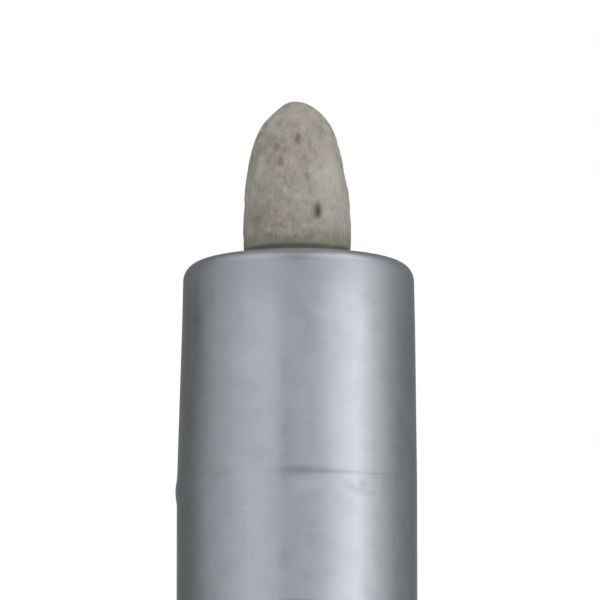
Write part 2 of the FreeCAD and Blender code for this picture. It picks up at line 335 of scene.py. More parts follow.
def makeScuffGroup():
    # Fine scratches in two directions, and cloudy rubbed patches, both sparse
    tree, entry, leave = newGroup("handlingScuffs", [("Amount", "Float", 0.5)], ["Scratches", "Rubbed"])
    vector = entry.outputs["Vector"]
    warp = noiseAt(vector, 0.25, 2)
    scratches = None
    for turn in (0.25, -0.45):
        mapping = addNode(tree, "Mapping", Rotation=(turn, turn * 0.7, 0), Scale=(9.0, 9.0, 0.22))
        link(vector, mapping.inputs["Vector"])
        streak = noiseAt(mapping.outputs["Vector"], 1.0, 2, 0.4, 0.3)
        thin = rangeMap(streak, 0.70, 0.76)
        scratches = thin if scratches is None else mathNode("MAXIMUM", scratches, thin)
    gate = rangeMap(warp, 0.42, 0.62)
    scratches = times(scratches, gate)
    link(times(scratches, entry.outputs["Amount"]), leave.inputs["Scratches"])
    cloud = noiseAt(vector, 0.55, 2, 0.5, 0.4)
    rubbed = times(rangeMap(cloud, 0.45, 0.70), entry.outputs["Amount"])
    link(rubbed, leave.inputs["Rubbed"])
    return tree


def makeGrainGroup():
    # The small orange-peel of lacquer or of a spark-eroded mould
    tree, entry, leave = newGroup("surfaceGrain", [("Fineness", "Float", 8.0)], ["Height", "Tone"])
    fine = addNode(tree, "TexNoise", Detail=3.0, Roughness=0.6)
    link(entry.outputs["Vector"], fine.inputs["Vector"])
    link(entry.outputs["Fineness"], fine.inputs["Scale"])
    broad = noiseAt(entry.outputs["Vector"], 0.9, 3, 0.5)
    link(fine.outputs["Fac"], leave.inputs["Height"])
    link(broad, leave.inputs["Tone"])
    return tree


def makeDrawnGroup():
    # Lines that drawing and turning leave along or round a metal part
    tree, entry, leave = newGroup("drawnLines", [("Along", "Vector", (1, 1, 1))], ["Lines"])
    stretched = vectorMath("MULTIPLY", entry.outputs["Vector"], entry.outputs["Along"])[0]
    link(noiseAt(stretched, 1.0, 2, 0.55), leave.inputs["Lines"])
    return tree


def makeDustGroup():
    # Specks of dust, in patches
    tree, entry, leave = newGroup("dustSpecks", [("Amount", "Float", 0.3)], ["Mask"])
    specks = addNode(tree, "TexVoronoi", Scale=2.2, Randomness=1.0)
    link(entry.outputs["Vector"], specks.inputs["Vector"])
    dots = rangeMap(specks.outputs["Distance"], 0.10, 0.03)
    gate = rangeMap(noiseAt(entry.outputs["Vector"], 0.6, 2), 0.50, 0.64)
    mask = times(times(dots, gate), entry.outputs["Amount"])
    link(mask, leave.inputs["Mask"])
    return tree


def makeSpotGroup():
    # One soft oval spot, for stains and marks, for painted shade in pits, at the nib's foot and along the
    # joint, and for the nib's painted lighter side
    tree, entry, leave = newGroup("softSpot", [("Centre", "Vector", (0, 0, 0)), ("Size", "Vector", (1, 1, 1))],
                                  ["Mask"])
    aside = vectorMath("SUBTRACT", entry.outputs["Vector"], entry.outputs["Centre"])[0]
    aside = vectorMath("DIVIDE", aside, entry.outputs["Size"])[0]
    link(rangeMap(vectorMath("LENGTH", aside)["Value"], 1.0, 0.15), leave.inputs["Mask"])
    return tree


spot = makeSpotGroup()
scuffs = makeScuffGroup()
grain = makeGrainGroup()
drawn = makeDrawnGroup()
dust = makeDustGroup()
print("shared effects built")


nibShape = {
    "around": 176,
    "radius": nibHigh.x,
    "dome": 5.9 * mm,
    "domeSteps": 112,
    "swell": 0.115 * mm,          # the dome is a little fuller than an ellipse under its tip
    "swellBelow": 1.35 * mm,
    "fineShank": 2.7 * mm,        # stretch of shank under the dome that shows, and has fine rings
    "fineSteps": 44,
    "tailChamfer": 0.5 * mm,
    "lean": 0.070 * mm,           # the waist bows a little to the left and the tip to the right
    "facetPlace": Vector((-1.02 * mm, 0, -0.60 * mm)),   # from the tip
    "facetNormal": Vector((-0.655, 0.05, 0.755)),
    "facetHollow": 0.075 * mm,
    "facetReach": 0.75 * mm,
    "facetCut": 0.93,             # share of what stands over the facet that is worn away
    "tipFlat": 0.030 * mm,
    "tipReach": 0.5 * mm,
    "lumps": 0.030 * mm,
    "fibres": 0.022 * mm,
}
# Pits in the felt: degrees round from the front, depth below the tip, half width, half height, depth
nibPits = [
    (22.6, 5.57, 0.30, 0.62, 0.16),
    (22.9, 5.60, 0.13, 0.40, 0.10),
    (0.5, 2.11, 0.22, 0.42, 0.085),
    (-26.5, 2.55, 0.30, 0.32, 0.06),
    (-19.5, 3.28, 0.24, 0.34, 0.065),
    (11.2, 3.98, 0.17, 0.30, 0.065),
    (27.5, 3.50, 0.16, 0.16, 0.035),
    (-24.5, 6.80, 0.19, 0.13, 0.045),
    (-1.0, 6.82, 0.19, 0.12, 0.04),
    (-46.0, 5.90, 0.24, 0.55, 0.035),
    (95.0, 4.2, 0.16, 0.36, 0.10),
    (150.0, 5.6, 0.18, 0.42, 0.12),
    (-120.0, 3.0, 0.16, 0.32, 0.08),
    (-80.0, 5.2, 0.14, 0.28, 0.05),
    (205.0, 3.6, 0.16, 0.28, 0.08),
]


def makeNib(shape, pits):
    radius = shape["radius"]
    domeFoot = nibTip - shape["dome"]
    points = [Vector((radius - shape["tailChamfer"], nibLow.z)),
              Vector((radius, nibLow.z + shape["tailChamfer"]))]
    fineFrom = domeFoot - shape["fineShank"]
    for step in range(1, 12):
        points.append(Vector((radius, nibLow.z + shape["tailChamfer"]
                              + (fineFrom - nibLow.z - shape["tailChamfer"]) * step / 12)))
    for step in range(shape["fineSteps"]):
        points.append(Vector((radius, fineFrom + shape["fineShank"] * step / shape["fineSteps"])))
    for step in range(shape["domeSteps"]):
        angle = math.pi / 2 * step / shape["domeSteps"]
        points.append(Vector((radius * math.cos(angle), domeFoot + shape["dome"] * math.sin(angle))))
    nib = turnPiece("feltNib", points, shape["around"], closed=False)
    facetAt = shape["facetPlace"] + Vector((0, 0, nibTip))
    facetNormal = shape["facetNormal"].normalized()
    pitPlaces = []
    for degrees, below, halfWidth, halfHeight, depth in pits:
        angle = math.radians(degrees)
        pitPlaces.append((angle, nibTip - below * mm, halfWidth * mm, halfHeight * mm, depth * mm))

    def wear(place):
        outward = Vector((place.x, place.y, 0))
        reach = outward.length
        if reach > 0:
            outward /= reach
        up = (place.z - domeFoot) / shape["dome"]
        if up > 0:
            outward = Vector((outward.x, outward.y, 0.45 * up)).normalized()
        q = place / mm
        show = min(1.0, max(0.0, (place.z - fineFrom) / mm))
        lump = noise.noise(q * 0.9) + 0.5 * noise.noise(q * 2.1 + Vector((7, 3, 1)))
        streak = noise.noise(Vector((q.x * 6.5, q.y * 6.5, q.z * 1.6)))
        streak += 0.6 * noise.noise(Vector((q.x * 13, q.y * 13, q.z * 3.4 + 5)))
        push = shape["lumps"] * (lump - 0.3) + shape["fibres"] * (streak - 0.4)
        around = math.atan2(place.x, -place.y)
        for angle, height, halfWidth, halfHeight, depth in pitPlaces:
            aside = (around - angle + math.pi) % (2 * math.pi) - math.pi
            aside *= max(reach, 0.2 * mm)
            far = math.hypot(aside / halfWidth, (place.z - height) / halfHeight)
            push -= depth * softBump(far, 1.0)
        place += outward * push * show
        below = nibTip - place.z
        swell = softBump(below - shape["swellBelow"], 1.35 * mm if below < shape["swellBelow"] else 2.3 * mm)
        if reach > 0:
            grow = 1 + shape["swell"] * swell / reach
            place.x *= grow
            place.y *= grow
        place.x -= shape["lean"] * softBump(below - 2.7 * mm, 2.3 * mm)
        place.x -= 0.5 * shape["lean"] * softBump(below, 0.7 * mm)
        over = (place - facetAt).dot(facetNormal)
        if over > 0:
            aside = (place - facetAt - facetNormal * over).length
            hollow = shape["facetHollow"] * softBump(aside, shape["facetReach"])
            place -= facetNormal * (over * shape["facetCut"] + hollow)
        place.z = min(place.z, nibTip) - shape["tipFlat"] * softBump(below, shape["tipReach"])
        return place

    sculpt(nib, wear)
    smoothPiece(nib, 70)
    return nib


# Broad stains, and first a painted lighter patch on the right side, where the light falls: place and depth
# below the tip, size, strength and colour
feltStainsAndLitSide = [
    ((1.6, -1.9, 3.9), (1.3, 1.6, 3.0), 0.62, (0.84, 0.81, 0.755)),
    ((1.0, -2.2, 4.5), (0.65, 1.4, 1.7), 0.50, (0.73, 0.72, 0.55)),
    ((0.2, -1.6, 1.5), (1.3, 1.3, 1.0), 0.40, (0.63, 0.52, 0.50)),
    ((1.2, -1.7, 2.7), (0.9, 1.2, 0.7), 0.35, (0.64, 0.55, 0.54)),
    ((-1.7, -1.6, 5.6), (0.9, 1.4, 1.3), 0.45, (0.47, 0.43, 0.37)),
    ((-2.0, -1.2, 2.6), (0.8, 1.2, 1.5), 0.22, (0.49, 0.50, 0.38)),
    ((-2.0, -1.4, 4.4), (0.9, 1.4, 1.1), 0.32, (0.74, 0.70, 0.65)),
    ((2.1, -1.4, 6.5), (1.0, 1.5, 0.9), 0.30, (0.49, 0.46, 0.42)),
    ((0.3, -0.6, 0.1), (1.6, 1.6, 0.75), 0.55, (0.52, 0.53, 0.47)),
    ((-1.35, -2.1, 6.45), (0.28, 0.6, 0.20), 0.70, (0.78, 0.76, 0.68)),
]


def pitPlace(degrees, below):
    # The middle of a pit on the nib's surface, in millimetres
    up = max(0.0, 1 - below * mm / nibShape["dome"])
    reach = nibShape["radius"] / mm * math.sqrt(1 - up * up)
    turn = math.radians(degrees)
    return (reach * math.sin(turn), -reach * math.cos(turn), nibTip / mm - below)


def makeFeltMaterial():
    felt, tree, shader = newMaterial("pressedFelt", (0.595, 0.560, 0.490), 0.93, Specular_IOR_Level=0.15)
    flat = place(tree)
    upright = place(tree, (1, 1, 0.30))
    height = heightOf(flat)
    mottle = noiseAt(flat, 1.15, 5, 0.62, 0.5)
    colour = ramp(mottle, [(0.30, (0.464, 0.441, 0.359)), (0.46, (0.621, 0.586, 0.499)),
                           (0.58, (0.682, 0.621, 0.586)), (0.74, (0.823, 0.787, 0.682))])
    hue = noiseAt(flat, 0.8, 3, 0.5, 0.3)
    colour = mixColour(rangeMap(hue, 0.52, 0.68, 0, 0.5), colour, (0.735, 0.605, 0.595))
    colour = mixColour(rangeMap(hue, 0.46, 0.30, 0, 0.34), colour, (0.570, 0.590, 0.470))
    blotch = noiseAt(flat, 2.3, 3, 0.55, 0.6)
    colour = mixColour(rangeMap(blotch, 0.50, 0.36, 0, 0.34), colour, (0.36, 0.34, 0.29))
    colour = mixColour(rangeMap(blotch, 0.54, 0.68, 0, 0.30), colour, (0.86, 0.84, 0.78))
    # Stains, and a painted lighter right side of the nib
    for where, size, strength, shade in feltStainsAndLitSide:
        centre = (where[0], where[1], nibTip / mm - where[2])
        mask = useGroup(spot, flat, Centre=centre, Size=size)["Mask"]
        colour = tint(colour, mask, strength, shade)
    fibre = noiseAt(upright, 7.5, 4, 0.65, 0.25)
    colour = mixColour(rangeMap(fibre, 0.46, 0.30, 0, 0.42), colour, (0.333, 0.315, 0.263))
    colour = mixColour(rangeMap(fibre, 0.58, 0.72, 0, 0.45), colour, (1.000, 0.997, 0.875))
    # Pits and small holes between the fibres, seen as dark specks: painted shade in them, and each pit painted
    # darker the deeper it is
    specks = addNode(tree, "TexVoronoi", Scale=2.6, Randomness=1.0)
    link(upright, specks.inputs["Vector"])
    gate = rangeMap(noiseAt(flat, 1.9, 2), 0.48, 0.60)
    hole = times(rangeMap(specks.outputs["Distance"], 0.24, 0.06), gate)
    colour = tint(colour, hole, 0.20, (0.245, 0.228, 0.201))
    for degrees, below, halfWidth, halfHeight, depth in nibPits:
        where = pitPlace(degrees, below)
        size = (halfWidth, 0.5, halfHeight) if abs(degrees) < 60 else (0.5, 0.5, halfHeight)
        mask = useGroup(spot, flat, Centre=where, Size=size)["Mask"]
        # painted shade in the pit, darker the deeper it is
        colour = mixColour(times(mask, min(0.92, depth * 5.2)), colour, (0.105, 0.098, 0.082))
    # The foot is stained where fluid has crept up out of the nose. Just above the nose face the foot is
    # painted darker as shade under the nose's rim, and more at its right side.
    footLine = noseFace / mm
    creep = plus(height, times(noiseAt(flat, 1.4, 3), -0.9))
    stain = rangeMap(creep, footLine + 0.95, footLine + 0.20)
    colour = tint(colour, stain, 0.56, (0.263, 0.266, 0.184))
    # painted shade in a band just above the nose face
    footRimShade = rangeMap(height, footLine + 0.70, footLine + 0.53)
    colour = tint(colour, footRimShade, 0.72, (0.105, 0.114, 0.096))
    # a painted shadow at the right of the foot
    footSideShade = useGroup(spot, flat, Centre=(2.3, -1.1, footLine + 0.40), Size=(0.9, 1.6, 0.50))["Mask"]
    colour = tint(colour, footSideShade, 0.70, (0.105, 0.114, 0.096))
    link(colour, shader.inputs["Base Color"])
    relief = plus(fibre, times(noiseAt(flat, 16, 3, 0.7), 0.5))
    relief = minus(relief, times(hole, 0.6))
    addBump(shader, relief, 0.65, 0.06 * mm)
    return felt


felt = makeFeltMaterial()
nib = makeNib(nibShape, nibPits)
finishPiece(nib, "nib", "nib", felt)
print("nib made")


def makeSatinMetal(name, colour, roughness, level=None, spotsAndShade=(), dullFrom=None, dullTo=None):
    # Drawn aluminium under a thin dull lacquer. level is a height where handling has dulled the edge,
    # and from dullFrom up to dullTo the lacquer gets duller. Above dullTo the rounded top edge is painted
    # darker, as shade over its highlight.
    metal, tree, shader = newMaterial(name, colour, roughness, 1.0, Coat_Weight=0.10, Coat_Roughness=0.45)
    flat = place(tree)
    lines = useGroup(drawn, flat, Along=(0.5, 0.5, 9.0))["Lines"]
    streaks = useGroup(drawn, flat, Along=(2.6, 2.6, 0.12))["Lines"]
    peel = useGroup(grain, flat, Fineness=2.4)
    marks = useGroup(scuffs, flat, Amount=0.55)
    specks = useGroup(dust, flat, Amount=0.10)["Mask"]
    dark = shaded(colour, 0.91)
    light = shaded(colour, 1.05)
    tone = ramp(peel["Tone"], [(0.30, dark), (0.52, colour), (0.74, light)])
    tone = mixColour(rangeMap(streaks, 0.40, 0.62, 0, 0.35), tone, light)
    tone = mixColour(rangeMap(lines, 0.50, 0.70, 0, 0.30), tone, light)
    tone = tint(tone, marks["Rubbed"], 0.30, dark)
    tone = tint(tone, marks["Scratches"], 0.6, light)
    tone = tint(tone, specks, 0.7, (0.86, 0.86, 0.84))
    if level is not None:
        off = mathNode("ABSOLUTE", minus(heightOf(flat), level / mm))
        ring = rangeMap(plus(off, times(peel["Tone"], 0.5)), 0.65, 0.25)
        tone = tint(tone, ring, 0.12, shaded(colour, 0.72))
    # Marks, and painted shade along the joint
    for degrees, offset, size, strength, shade in spotsAndShade:
        turn = math.radians(degrees)
        reach = neckRadius / mm
        where = (reach * math.sin(turn), -reach * math.cos(turn), seam / mm + offset)
        mask = useGroup(spot, flat, Centre=where, Size=size)["Mask"]
        tone = tint(tone, mask, strength, shaded(colour, shade))
    rough = plus(times(peel["Tone"], 0.10), roughness - 0.05)
    if dullFrom is not None:
        upward = heightOf(flat)
        dull = rangeMap(plus(upward, times(peel["Tone"], 1.2)),
                        dullFrom / mm + 0.6, dullTo / mm + 0.6)
        tone = tint(tone, dull, 0.5, shaded(colour, 0.87))
        rough = plus(rough, times(dull, 0.14))
        # painted shade on the rounded top edge, dimming its highlight
        edgeShade = rangeMap(upward, dullTo / mm + 0.30, dullTo / mm + 0.78, 0, 0.45)
        tone = mixColour(edgeShade, tone, shaded(colour, 0.62))
    link(tone, shader.inputs["Base Color"])
    rough = plus(rough, times(marks["Rubbed"], 0.08))
    rough = plus(rough, times(specks, 0.4))
    link(rough, shader.inputs["Roughness"])
    height = plus(times(lines, 0.35), times(peel["Height"], 0.8))
    height = minus(height, times(marks["Scratches"], 0.5))
    addBump(shader, height, 0.25, 0.012 * mm)
    return metal


satin = (0.675, 0.698, 0.769)
satinRoughness = 0.28
# Soft spots: degrees round, millimetres above the seam, half sizes, strength, and the share of the
# metal's own colour that is left, which is over 1 where a mark is paler
jointShadeSpots = [
    # Along the joint: dark spots that are painted shade in the dent, one at 34 degrees that is painted shade
    # under the low bump, and last a paler spot below the dent
    (-0.5, -0.04, (1.05, 1.2, 0.36), 0.34, 0.45),
    (7.0, -0.05, (1.3, 1.2, 0.30), 0.22, 0.45),
    (15.0, -0.06, (1.7, 1.6, 0.17), 0.24, 0.45),
    (27.0, -0.05, (2.0, 1.6, 0.12), 0.16, 0.45),
    (34.0, -0.93, (1.2, 1.4, 0.24), 0.18, 0.45),
    (4.0, -0.70, (1.15, 1.2, 0.42), 0.45, 1.30),
]
noseMarks = [
    (35.0, 8.24, (0.50, 1.2, 0.30), 0.20, 0.45),
    (39.6, 7.90, (0.35, 1.2, 0.22), 0.20, 0.45),
    (11.4, 7.30, (0.60, 1.2, 0.45), 0.35, 1.20),
    (18.0, 8.30, (0.80, 1.2, 0.55), 0.22, 1.20),
    (-45.0, 8.16, (0.13, 0.8, 0.09), 0.35, 0.45),
    (-30.0, 5.20, (0.70, 1.2, 0.80), 0.20, 1.15),
]
neckMarks = [
    (-24.9, -1.74, (0.34, 1.0, 0.17), 0.28, 1.25),
    (-12.7, -1.84, (0.28, 1.0, 0.15), 0.24, 1.25),
    (5.5, -1.60, (0.26, 1.0, 0.20), 0.24, 1.25),
    (0.7, -1.13, (0.22, 1.0, 0.13), 0.30, 1.25),
]
noseMetal = makeSatinMetal("satinNose", satin, satinRoughness, seam, jointShadeSpots + noseMarks,
                           noseFace - 3.4 * mm, noseFace - 0.8 * mm)
barrelMetal = makeSatinMetal("satinBarrel", satin, satinRoughness, barrelHigh.z, jointShadeSpots + neckMarks)
capMetal = makeSatinMetal("satinCap", satin, satinRoughness, capRim)
print("metal finishes made")


noseShape = {
    "around": 256,
    "footRadius": 5.552 * mm,
    "tipRadius": 5.335 * mm,
    "edge": 0.80 * mm,
    "edgeSteps": 14,
    "wall": 0.32 * mm,
    "hole": 2.62 * mm,
    "holeEdge": 0.10 * mm,
    "footEdge": 0.004 * mm,
    "ringStep": 0.30 * mm,
    "fineHeight": 1.5 * mm,       # stretch above the foot that has fine rings for the lip and the dent
    "fineStep": 0.06 * mm,
    "lean": 0.075 * mm,           # the sleeve leans a little, by this much over the height below
    "leanHeight": 7.5 * mm,
    "lip": 0.066 * mm,            # the pressed joint stands out most at the left and fades round the front
    "lipHalfHeight": 0.74 * mm,
    "lipBelow": 0.25 * mm,
    "dentAngle": 4.0,             # degrees round from the front
    "dentHalfWidth": 1.65 * mm,
    "dentHalfHeight": 0.34 * mm,
    "dentDepth": 0.030 * mm,
    "smudgeAngle": 29,            # a low bump beside the dent
    "smudgeBelow": 0.58 * mm,
    "smudgeHalfWidth": 0.70 * mm,
    "smudgeHalfHeight": 0.36 * mm,
    "smudgeHeight": 0.042 * mm,
}


def jointPush(place, reach, above):
    # How far the wall stands out or in near the pressed joint, on the sleeve and on the neck alike
    around = math.atan2(place.x, -place.y)
    left = max(0.0, -math.sin(around)) ** 2
    push = noseShape["lip"] * left * softBump(above + noseShape["lipBelow"], noseShape["lipHalfHeight"])
    for name, below, rise in (("dent", 0.0, -noseShape["dentDepth"]),
                              ("smudge", noseShape["smudgeBelow"], noseShape["smudgeHeight"])):
        aside = (around - math.radians(noseShape[name + "Angle"])) * reach
        far = math.hypot(aside / noseShape[name + "HalfWidth"],
                         (above + below) / noseShape[name + "HalfHeight"])
        push += rise * softBump(far, 1.0)
    return push


def widen(place, reach, push):
    place.x *= 1 + push / reach
    place.y *= 1 + push / reach
    return place


def makeNose(shape):
    foot, face = seam, noseFace
    wide, narrow, hole = shape["footRadius"], shape["tipRadius"], shape["hole"]
    wall, edge = shape["wall"], shape["edge"]
    corners = [(wide - wall, foot, 0), (wide, foot, shape["footEdge"])]
    slope = (narrow - wide) / (face - foot)
    height = foot + shape["footEdge"] * 1.5
    while height < face - edge * 1.2:
        corners.append((wide + slope * (height - foot), height, 0))
        height += shape["fineStep"] if height < foot + shape["fineHeight"] else shape["ringStep"]
    top = roundCorners([(wide, foot, 0), (narrow, face, edge),
                        (hole, face, 0)], shape["edgeSteps"])[1:-1]
    inner = roundCorners([(narrow - edge * 1.4, face, 0),
                          (hole, face, shape["holeEdge"]),
                          (hole, face - wall, 0),
                          (narrow - wall, face - wall, edge - wall),
                          (wide - wall, foot, 0)])[:-1]
    points = roundCorners(corners)[:-1] + [Vector(corners[-1][:2])] + top + inner
    nose = turnPiece("noseSleeve", points, shape["around"])

    def press(place):
        reach = math.hypot(place.x, place.y)
        above = place.z - foot
        place.x += shape["lean"] * min(1.0, max(0.0, above / shape["leanHeight"]))
        if above > shape["fineHeight"] or reach < wide - wall * 0.8:
            return place
        return widen(place, reach, jointPush(place, reach, above))

    sculpt(nose, press)
    smoothPiece(nose)
    return nose


nose = makeNose(noseShape)
finishPiece(nose, "barrel", "nose_sleeve", noseMetal)
print("nose sleeve made")


barrelShape = {
    "around": 192,
    "neck": neckRadius,
    "wall": 0.50 * mm,
    "shoulder": 133.3 * mm,
    "shoulderRound": 1.6 * mm,
    "neckFillet": 0.35 * mm,
    "mouthBreak": 0.004 * mm,
}


def makeBarrel(shape):
    outer = barrelHigh.x
    inner = outer - shape["wall"]
    neckBore = shape["neck"] - shape["wall"]
    mouth = barrelHigh.z
    under = shape["shoulder"] - shape["wall"]
    corners = [
        (inner, barrelFoot, 0.06 * mm),
        (outer, barrelFoot, 0.10 * mm),
        (outer, barrelFoot + 1.0 * mm, 0),
        (outer, shape["shoulder"] - 3.0 * mm, 0),
        (outer, shape["shoulder"], shape["shoulderRound"]),
        (shape["neck"], shape["shoulder"], shape["neckFillet"]),
        *[(shape["neck"], mouth - below * 0.07 * mm, 0) for below in range(15, 0, -1)],
        (shape["neck"], mouth, shape["mouthBreak"]),
        (neckBore, mouth, 0),
        (neckBore, under, 0),
        (inner, under, shape["shoulderRound"] - shape["wall"]),
    ]
    barrel = turnPiece("barrelTube", roundCorners(corners, 10), shape["around"])

    def press(place):
        reach = math.hypot(place.x, place.y)
        if place.z < mouth - 1.3 * mm or reach < shape["neck"] - shape["wall"] / 2:
            return place
        return widen(place, reach, jointPush(place, reach, place.z - mouth))

    sculpt(barrel, press)
    smoothPiece(barrel)
    return barrel


barrel = makeBarrel(barrelShape)
finishPiece(barrel, "barrel", "barrel", barrelMetal)
print("barrel made")


filmShape = {
    "around": 180,
    "thickness": 0.12 * mm,
    "edge": 0.03 * mm,
    "overlap": 1.6 * mm,          # where one edge of the film lies on the other, at the back
    "step": 0.03 * mm,
    "swatches": 6,
    "swatchPitch": 7.4 * mm,
}


def makeFilm(shape):
    outer = filmHigh.x
    inner = outer - shape["thickness"]
    corners = [(inner, filmLow.z, 0), (outer, filmLow.z, shape["edge"]),
               (outer, filmTop, shape["edge"]), (inner, filmTop, 0)]
    film = turnPiece("labelFilm", roundCorners(corners, 3), shape["around"])
    half = shape["overlap"] / 2

    def wrap(place):
        reach = math.hypot(place.x, place.y)
        if reach < outer - shape["thickness"] / 2:
            return place
        aside = math.atan2(place.x, place.y) * reach
        if -half < aside < half:
            return place
        return widen(place, reach, -shape["step"])

    sculpt(film, wrap)
    smoothPiece(film, 50)
    return film


def makeFilmMaterial(shape):
    # White film with dark end bands and a column of greys from dark to light on its front
    film, tree, shader = newMaterial("printedFilm", (0.80, 0.80, 0.78), 0.42, Specular_IOR_Level=0.45)
    flat = place(tree)
    coords = addNode(tree, "SeparateXYZ")
    link(flat, coords.inputs[0])
    x, y, z = (coords.outputs[i] for i in range(3))
    peel = useGroup(grain, flat, Fineness=14.0)
    marks = useGroup(scuffs, flat, Amount=0.6)
    specks = useGroup(dust, flat, Amount=0.4)["Mask"]
    colour = ramp(peel["Tone"], [(0.35, (0.76, 0.755, 0.73)), (0.65, (0.83, 0.825, 0.80))])
    low, high = filmLow.z / mm, filmTop / mm
    angle = mathNode("ARCTAN2", x, times(y, -1.0))
    across = times(angle, filmHigh.x / mm)

    def band(value, start, end):
        return times(rangeMap(value, start - 0.03, start + 0.03),
                     rangeMap(value, end + 0.03, end - 0.03))

    ink = (0.045, 0.050, 0.058)
    accent = (0.115, 0.205, 0.235)
    for start, end, shade in ((low + 1.2, low + 7.0, ink), (high - 9.0, high - 1.2, ink),
                              (high - 10.4, high - 9.8, accent), (low + 7.8, low + 8.2, accent)):
        colour = mixColour(band(z, start, end), colour, shade)
    pitch = shape["swatchPitch"] / mm
    first = low + 14.0
    for swatch in range(shape["swatches"]):
        tone = 0.03 + 0.62 * (swatch / (shape["swatches"] - 1)) ** 1.6
        start = first + pitch * swatch
        box = times(band(z, start, start + pitch * 0.82), band(across, -3.2, 3.2))
        colour = mixColour(box, colour, (tone, tone * 0.99, tone * 0.97))
    # A soft wash beside the swatches, which fades out as blended graphite does
    wash = times(band(across, 5.2, 9.6), rangeMap(z, first + pitch * 6, first - 1, 0, 0.85))
    wash = times(wash, rangeMap(noiseAt(flat, 2.4, 5, 0.7), 0.25, 0.65, 0.6, 1.0))
    colour = mixColour(times(wash, band(z, first, first + pitch * 6)), colour, (0.10, 0.10, 0.105))
    back = times(band(z, low + 12, high - 14), band(mathNode("ABSOLUTE", across), 17.0, 19.0))
    colour = tint(colour, back, 0.85, accent)
    colour = tint(colour, marks["Rubbed"], 0.05, (0.62, 0.61, 0.58))
    colour = tint(colour, marks["Scratches"], 0.5, (0.88, 0.88, 0.86))
    colour = tint(colour, specks, 0.35, (0.60, 0.59, 0.56))
    link(colour, shader.inputs["Base Color"])
    rough = plus(times(marks["Rubbed"], 0.18), 0.36)
    link(plus(rough, times(peel["Tone"], 0.1)), shader.inputs["Roughness"])
    height = minus(times(peel["Height"], 0.5), marks["Scratches"])
    addBump(shader, height, 0.25, 0.01 * mm)
    return film


film = makeFilm(filmShape)
finishPiece(film, "barrel", "label_sleeve", makeFilmMaterial(filmShape))
print("printed film made")


def makePlastic(name, colour, roughness, fineness, bump, wearColour, **sockets):
    plastic, tree, shader = newMaterial(name, colour, roughness, 0.0, **sockets)
    flat = place(tree)
    peel = useGroup(grain, flat, Fineness=fineness)
    marks = useGroup(scuffs, flat, Amount=0.7)
    specks = useGroup(dust, flat, Amount=0.6)["Mask"]
    tone = ramp(peel["Tone"], [(0.32, shaded(colour, 0.88)), (0.68, shaded(colour, 1.1))])
    tone = tint(tone, marks["Rubbed"], 0.25, wearColour)
    tone = tint(tone, marks["Scratches"], 0.7, wearColour)
    tone = tint(tone, specks, 0.7, (0.55, 0.54, 0.51))
    link(tone, shader.inputs["Base Color"])
    rough = minus(roughness + 0.04, times(marks["Rubbed"], 0.16))
    link(plus(rough, times(specks, 0.3)), shader.inputs["Roughness"])
    height = minus(peel["Height"], times(marks["Scratches"], 0.8))
    addBump(shader, height, bump, 0.02 * mm)
    return plastic


def makeBrushedSteel(name, colour, roughness, along):
    steel, tree, shader = newMaterial(name, colour, roughness, 1.0)
    flat = place(tree)
    lines = useGroup(drawn, flat, Along=along)["Lines"]
    marks = useGroup(scuffs, flat, Amount=0.6)
    specks = useGroup(dust, flat, Amount=0.4)["Mask"]
    tone = ramp(lines, [(0.30, shaded(colour, 0.78)), (0.70, shaded(colour, 1.12))])
    tone = tint(tone, marks["Rubbed"], 0.25, shaded(colour, 0.7))
    tone = tint(tone, specks, 0.6, (0.70, 0.69, 0.66))
    link(tone, shader.inputs["Base Color"])
    rough = plus(rangeMap(lines, 0.35, 0.65, -0.06, 0.08), roughness)
    link(plus(rough, times(specks, 0.3)), shader.inputs["Roughness"])
    height = minus(lines, times(marks["Scratches"], 0.8))
    addBump(shader, height, 0.35, 0.010 * mm)
    return steel


plugPlastic = makePlastic("plugPlastic", (0.030, 0.032, 0.036), 0.52, 11.0, 0.45, (0.075, 0.077, 0.080))
linerPlastic = makePlastic("linerPlastic", (0.74, 0.75, 0.75), 0.38, 5.0, 0.12, (0.62, 0.62, 0.60),
                           Subsurface_Weight=0.25, Subsurface_Scale=1.5 * mm)
guidePlastic = makePlastic("guidePlastic", (0.075, 0.080, 0.080), 0.48, 9.0, 0.25, (0.14, 0.14, 0.14))
insertPlastic = makePlastic("insertPlastic", (0.62, 0.62, 0.59), 0.44, 7.0, 0.18, (0.50, 0.49, 0.46))
valvePlastic = makePlastic("valvePlastic", (0.76, 0.76, 0.73), 0.28, 4.0, 0.10, (0.66, 0.65, 0.62))
sealRubber = makePlastic("sealRubber", (0.018, 0.018, 0.019), 0.68, 16.0, 0.35, (0.045, 0.045, 0.045))
clipSteel = makeBrushedSteel("brushedClip", (0.60, 0.605, 0.62), 0.27, (9.0, 9.0, 0.10))
springSteel = makeBrushedSteel("springWire", (0.55, 0.56, 0.58), 0.24, (3.0, 3.0, 5.0))
print("plastics and steel made")


tailShape = {
    "around": 144,
    "spigot": 5.55 * mm,
    "spigotEdge": 0.6 * mm,
    "flangeFoot": 36.1 * mm,
    "flangeEdge": 0.3 * mm,
    "plugWall": 2.2 * mm,
    "spigotWall": 1.2 * mm,
    "grooveHeight": 41.8 * mm,
    "grooveHalf": 0.75 * mm,
    "grooveDepth": 1.05 * mm,
}


